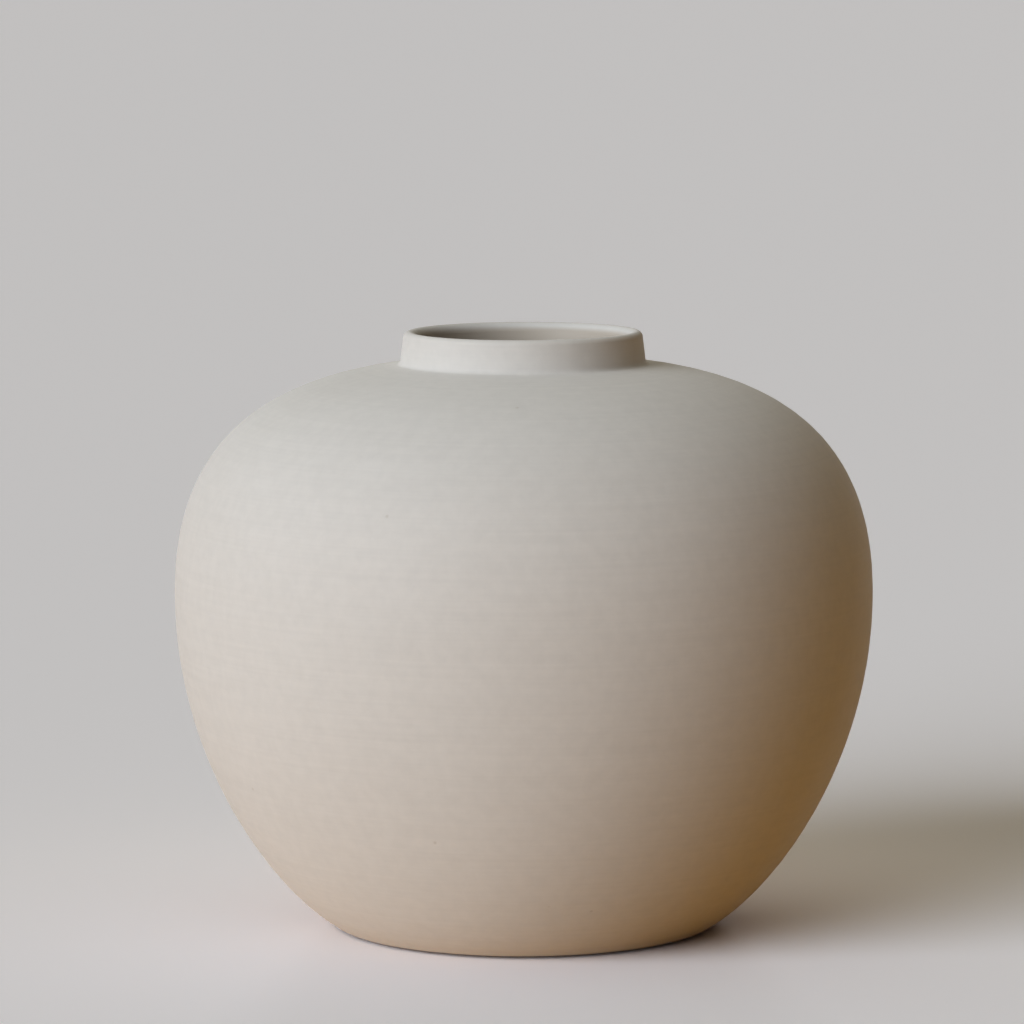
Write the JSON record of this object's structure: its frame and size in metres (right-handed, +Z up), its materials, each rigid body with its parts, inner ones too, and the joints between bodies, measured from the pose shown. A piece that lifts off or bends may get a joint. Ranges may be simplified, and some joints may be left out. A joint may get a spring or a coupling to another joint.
{
  "type": "ceramic vase",
  "caption": "Broad round ceramic jar for flowers or branches: thrown bowls luted at the belly, a short upright neck, a narrow set-in foot ring, a matt outer glaze and a beige liner glaze.",
  "frame": {"origin": "on the surface that the vase stands on, under the middle of the foot ring", "axes": "+Z up along the turning axis, through the middle of the mouth; X and Y are free, because every piece is turned about Z"},
  "size_m": [0.25, 0.25, 0.214],
  "materials": {
    "fired_clay": "bare fired stoneware, dry and slightly grainy",
    "bare_foot": "bare fired stoneware, sponged smooth",
    "joining_slip": "fired slip, dry",
    "matt_glaze": "smooth matt off-white glaze",
    "liner_glaze": "satin beige glaze"
  },
  "bodies": {
    "root": {"lower_bowl": "fired_clay", "upper_bowl": "fired_clay", "neck_collar": "fired_clay", "foot_ring": "bare_foot", "belly_slip": "joining_slip", "neck_slip": "joining_slip", "foot_slip": "joining_slip", "outer_glaze": "matt_glaze", "liner_glaze": "liner_glaze"}
  },
  "joints": []
}
